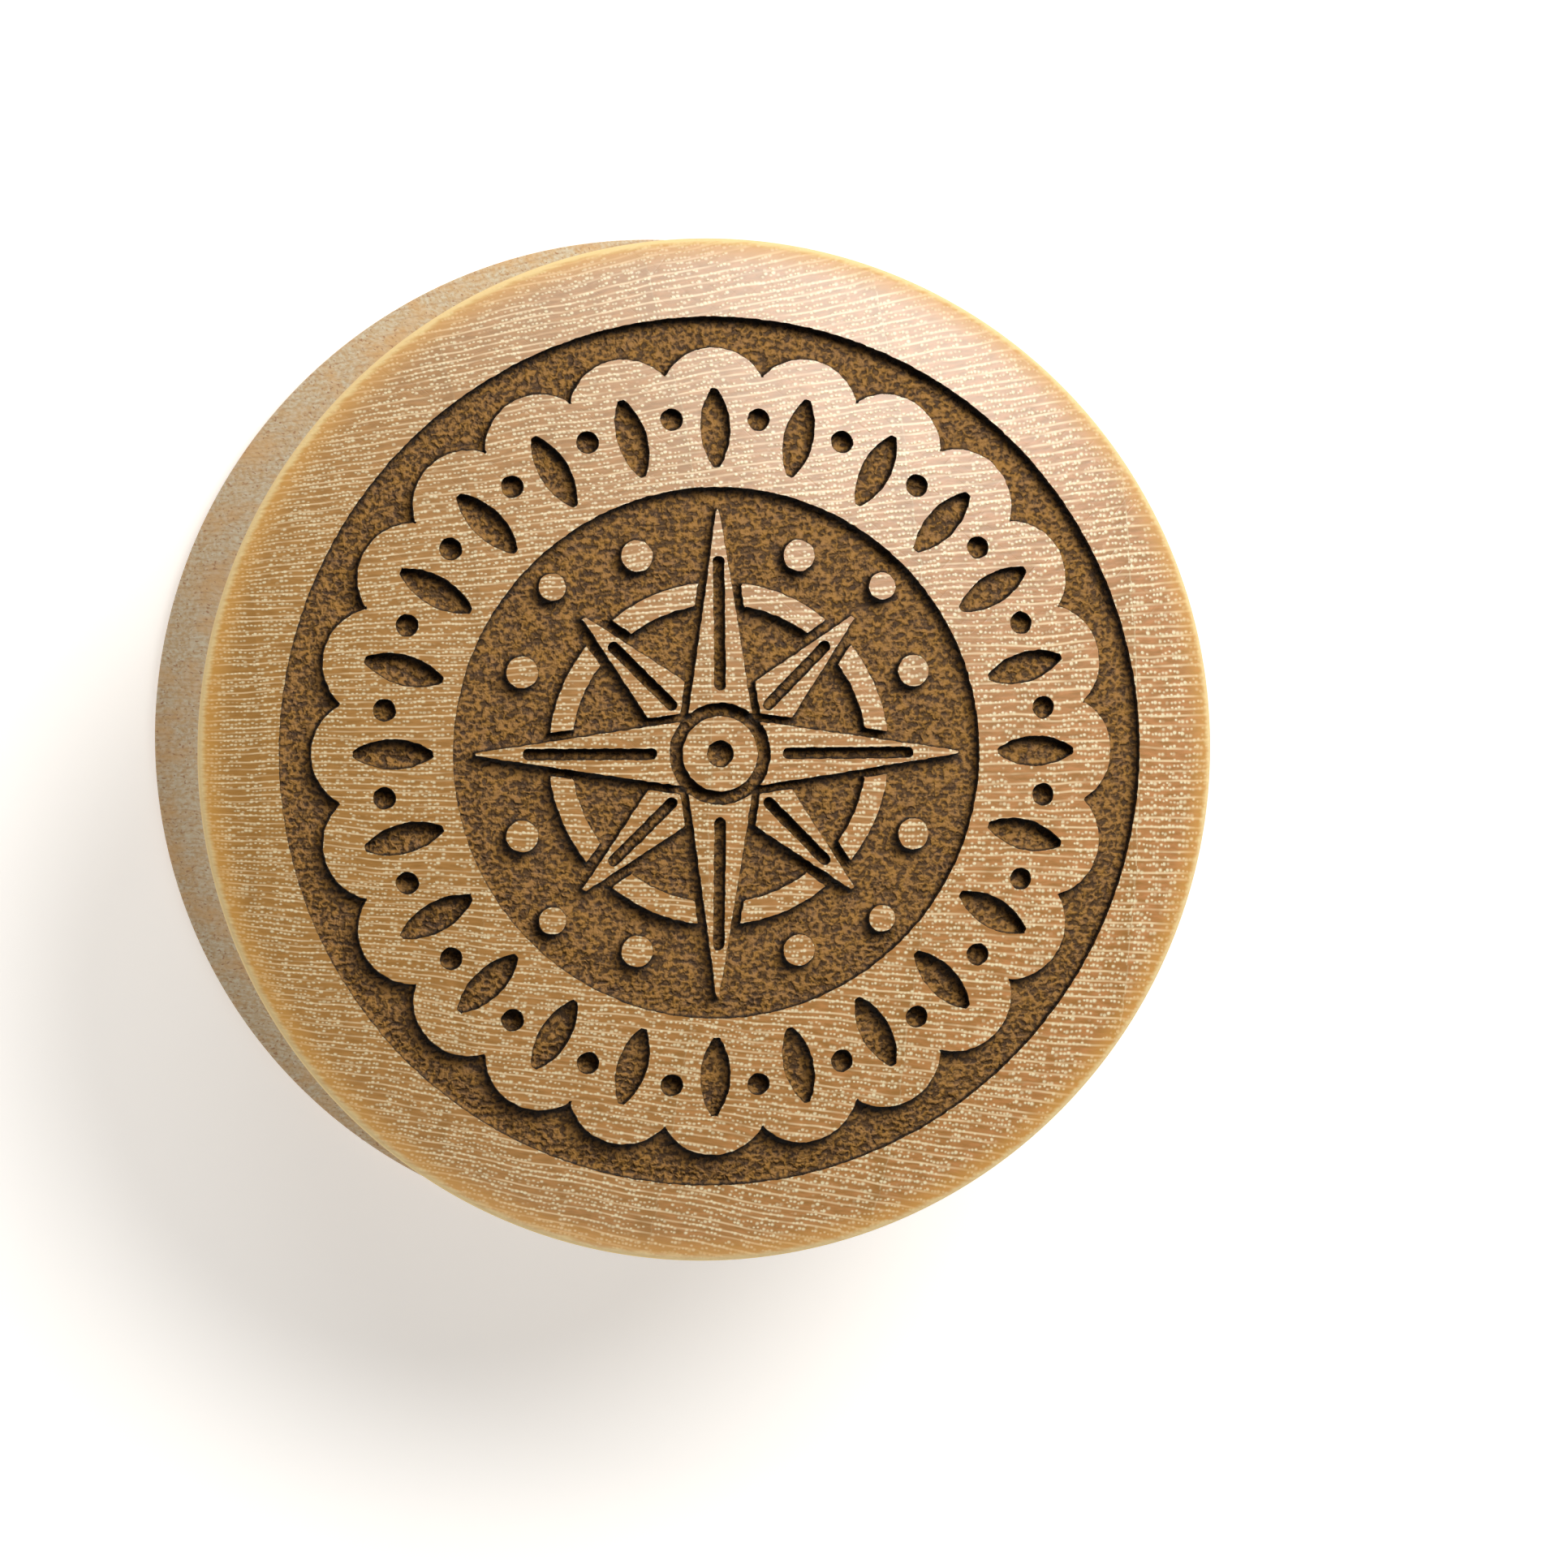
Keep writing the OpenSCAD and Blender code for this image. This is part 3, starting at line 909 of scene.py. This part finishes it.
def softbox(scene, name, direction, width, strength):
    """A far softbox: a soft light from one direction that falls evenly on the whole floor."""
    lamp = bpy.data.lights.new(name, "SUN")
    lamp.angle = width
    lamp.energy = strength
    box = bpy.data.objects.new(name, lamp)
    box.location = Vector(direction).normalized()
    scene.collection.objects.link(box)
    aim(box, Vector())


def table_top(scene, studio):
    """A table so wide that no view shows its edge."""
    half = 20  # metres
    corners = [(-half, -half, 0), (half, -half, 0), (half, half, 0), (-half, half, 0)]
    sheet = bpy.data.meshes.new("table_top")
    sheet.from_pydata(corners, [], [(0, 1, 2, 3)])
    sheet.materials.append(opal_acrylic(studio))
    table = bpy.data.objects.new("table_top", sheet)
    scene.collection.objects.link(table)
    return table


def white_room(scene, studio):
    """A room that is white low down, round the table, and dark overhead."""
    world = bpy.data.worlds.new("white_room")
    world.use_nodes = True
    room = world.node_tree
    direction = add(room, "TexCoord", output="Generated")
    height = add(room, "SeparateXYZ", {0: direction}, "Z")
    white_to, dark_from = 0.02, 0.12  # as the sines of their heights above the horizon
    strength = {"Value": height, "From Min": white_to, "From Max": dark_from}
    strength.update({"To Min": studio.horizon, "To Max": studio.zenith})
    strength = add(room, "MapRange", strength, interpolation_type="SMOOTHSTEP")
    background = room.nodes["Background"]
    background.inputs["Color"].default_value = (1, 1, 1, 1)
    room.links.new(strength, background.inputs["Strength"])
    scene.world = world


def photo_camera(scene, front):
    """A camera that sees the front from the photograph's angle, a little from its right and from above."""
    image_px = 1932
    front_px = Vector((871, 924.5))  # where the middle of the front rim lies in the picture
    focal_px = 15292
    from_right, from_above = math.radians(8.62), math.radians(2.32)
    distance_in_diameters = 12.13

    distance = distance_in_diameters * 2 * FLARE_R
    back = Vector((-math.sin(from_right), math.sin(from_above), 0))
    back.z = math.sqrt(1 - back.length_squared)
    right = Vector((0, 1, 0)).cross(back).normalized()
    up = back.cross(right)
    per_px = distance / focal_px
    offset = (image_px / 2 - front_px.x) * per_px * right - (image_px / 2 - front_px.y) * per_px * up
    data = bpy.data.cameras.new("camera")
    data.sensor_width = 36
    data.lens = focal_px * data.sensor_width / image_px
    data.clip_start = 0.01
    camera = bpy.data.objects.new("camera", data)
    camera.location = front + offset + distance * back
    camera.rotation_mode = "QUATERNION"
    camera.rotation_quaternion = Matrix((right, up, back)).transposed().to_quaternion()
    scene.collection.objects.link(camera)
    scene.camera = camera


class EARPLUG_OT_set_stage(Operator):
    """Lay the plug on a white table under softboxes, and set the camera over its front"""

    bl_idname = "earplug.set_stage"
    bl_label = "Set Stage"

    def execute(self, context):
        scene = context.scene
        studio = scene.earplug_studio
        floor = table_top(scene, studio)
        for name, direction, degrees_wide, strength in (
            ("key_softbox", (0.38, 0.5, 0.78), 32, studio.key_strength),
            ("top_softbox", (-0.1, 0.65, 0.75), 26, studio.top_strength),
            ("fill_softbox", (-0.1, -0.85, 0.4), 40, studio.fill_strength),
        ):
            softbox(scene, name, direction, math.radians(degrees_wide), strength)
        white_room(scene, studio)
        photo_camera(scene, front=Vector((0, 0, TOP_Z - scene.earplug_shape.dome_rise)))
        scene.view_settings.view_transform = "Standard"
        return {"FINISHED"}


class EARPLUG_PT_panel(Panel):
    bl_label = "Ear Plug"
    bl_space_type = "VIEW_3D"
    bl_region_type = "UI"
    bl_category = "Ear Plug"

    def draw(self, context):
        layout = self.layout
        for operator in OPERATORS:
            layout.operator(operator.bl_idname)


OPERATORS = (EARPLUG_OT_turn_and_engrave, EARPLUG_OT_set_stage)
GROUPS = {
    "earplug_shape": PlugShape,
    "earplug_engraving": Engraving,
    "earplug_wood": WoodLook,
    "earplug_studio": Studio,
}


def register():
    for cls in (*GROUPS.values(), *OPERATORS, EARPLUG_PT_panel):
        bpy.utils.register_class(cls)
    for name, cls in GROUPS.items():
        setattr(bpy.types.Scene, name, PointerProperty(type=cls))


def unregister():
    for name in GROUPS:
        delattr(bpy.types.Scene, name)
    for cls in (EARPLUG_PT_panel, *reversed(OPERATORS), *reversed(GROUPS.values())):
        bpy.utils.unregister_class(cls)


def main():
    register()
    bpy.ops.earplug.turn_and_engrave()
    bpy.ops.earplug.set_stage()


if __name__ == "__main__":
    main()
